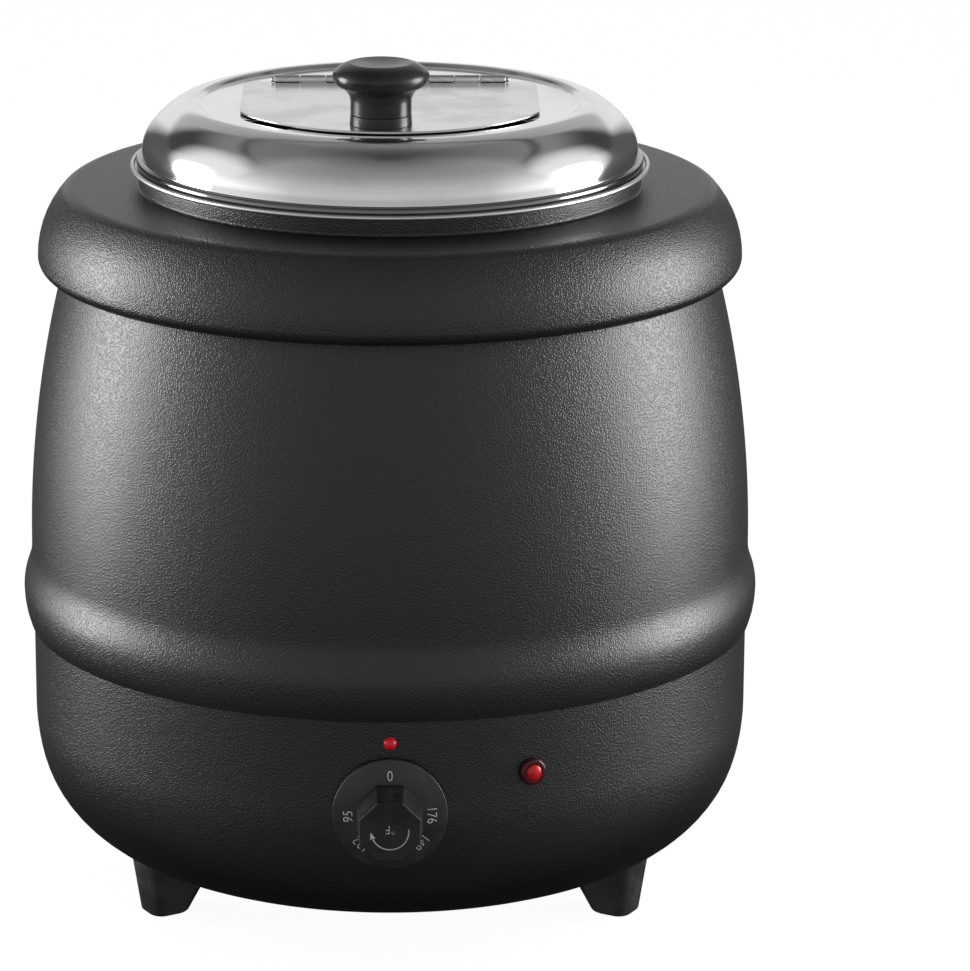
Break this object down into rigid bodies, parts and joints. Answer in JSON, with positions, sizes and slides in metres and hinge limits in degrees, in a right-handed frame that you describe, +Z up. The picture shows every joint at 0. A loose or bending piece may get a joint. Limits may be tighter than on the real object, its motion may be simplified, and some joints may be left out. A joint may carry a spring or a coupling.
{
  "type": "soup kettle",
  "caption": "Countertop soup kettle: black barrel-shaped casing on short feet around a heated water tank, with a lift-out steel pot and a domed lid with a hinged flap and knob",
  "frame": {"origin": "on the table under the middle of the kettle, on the axis of the pot", "axes": "+Z up, -Y to the front with the dial, +X to the right as seen from the front"},
  "size_m": [0.3407, 0.382, 0.3971],
  "materials": {
    "casing_coat": "black textured powder coat with a satin sheen",
    "polished_steel": "mirror-polished stainless steel",
    "satin_steel": "satin stainless steel",
    "plated_steel": "zinc-plated steel",
    "heater_sheath": "dull heat-tinted sheath",
    "spreader_aluminium": "mill-finish aluminium",
    "capillary_copper": "drawn copper tube",
    "knob_plastic": "glossy black phenolic",
    "trim_plastic": "satin black moulded plastic",
    "bezel_plastic": "dark red moulded plastic",
    "lamp_red": "translucent red plastic",
    "seal_rubber": "soft black rubber",
    "block_ceramic": "unglazed white ceramic",
    "wire_sleeve": "heat-proof woven sleeve"
  },
  "bodies": {
    "housing": {"base_bowl": "casing_coat", "barrel_casing": "casing_coat", "top_ring": "casing_coat", "water_tank": "satin_steel", "sensor_bulb": "satin_steel", "bulb_clip": "satin_steel", "heater_clamp_plate": "satin_steel", "thermal_cutout": "satin_steel", "ring_studs": "plated_steel", "ring_nuts": "plated_steel", "tie_rods": "plated_steel", "tie_rod_nuts": "plated_steel", "foot_screws": "plated_steel", "heater_stud": "plated_steel", "heater_nut": "plated_steel", "thermostat_screws": "plated_steel", "terminal_block_screws": "plated_steel", "bottom_plate": "plated_steel", "pilot_lamp_clip": "plated_steel", "power_lamp_clip": "plated_steel", "heating_element": "heater_sheath", "heat_spreader": "spreader_aluminium", "capillary_tube": "capillary_copper", "foot_front_left": "trim_plastic", "foot_front_right": "trim_plastic", "foot_rear": "trim_plastic", "gland_body": "trim_plastic", "gland_cap": "trim_plastic", "gland_locknut": "trim_plastic", "thermostat_body": "trim_plastic", "power_lamp_bezel": "bezel_plastic", "pilot_lamp": "lamp_red", "power_lamp_lens": "lamp_red", "tank_gasket": "seal_rubber", "gland_seal": "seal_rubber", "terminal_block": "block_ceramic", "heater_leads": "wire_sleeve", "lamp_leads": "wire_sleeve"},
    "dial": {"dial_knob": "trim_plastic", "thermostat_shaft": "plated_steel"},
    "soup_pot": {"soup_pot": "satin_steel"},
    "lid": {"lid_cover": "polished_steel", "lid_hinge_leaf": "satin_steel", "hinge_pin": "satin_steel"},
    "flap": {"flap_plate": "polished_steel", "knob_collar": "knob_plastic", "lid_knob": "knob_plastic", "knob_screw": "plated_steel"}
  },
  "joints": [
    {"name": "dial_turn", "type": "hinge", "parent": "housing", "child": "dial", "pos_m": [0, -0.175, 0.086], "axis": [0, 1, 0], "range_deg": [0, 270]},
    {"name": "pot_lift", "type": "slide", "parent": "housing", "child": "soup_pot", "axis": [0, 0, 1], "range_m": [0, 0.3]},
    {"name": "lid_lift", "type": "slide", "parent": "soup_pot", "child": "lid", "axis": [0, 0, 1], "range_m": [0, 0.12]},
    {"name": "flap_hinge", "type": "hinge", "parent": "lid", "child": "flap", "pos_m": [0, 0.042, 0.37037], "axis": [-1, 0, 0], "range_deg": [0, 105]}
  ]
}
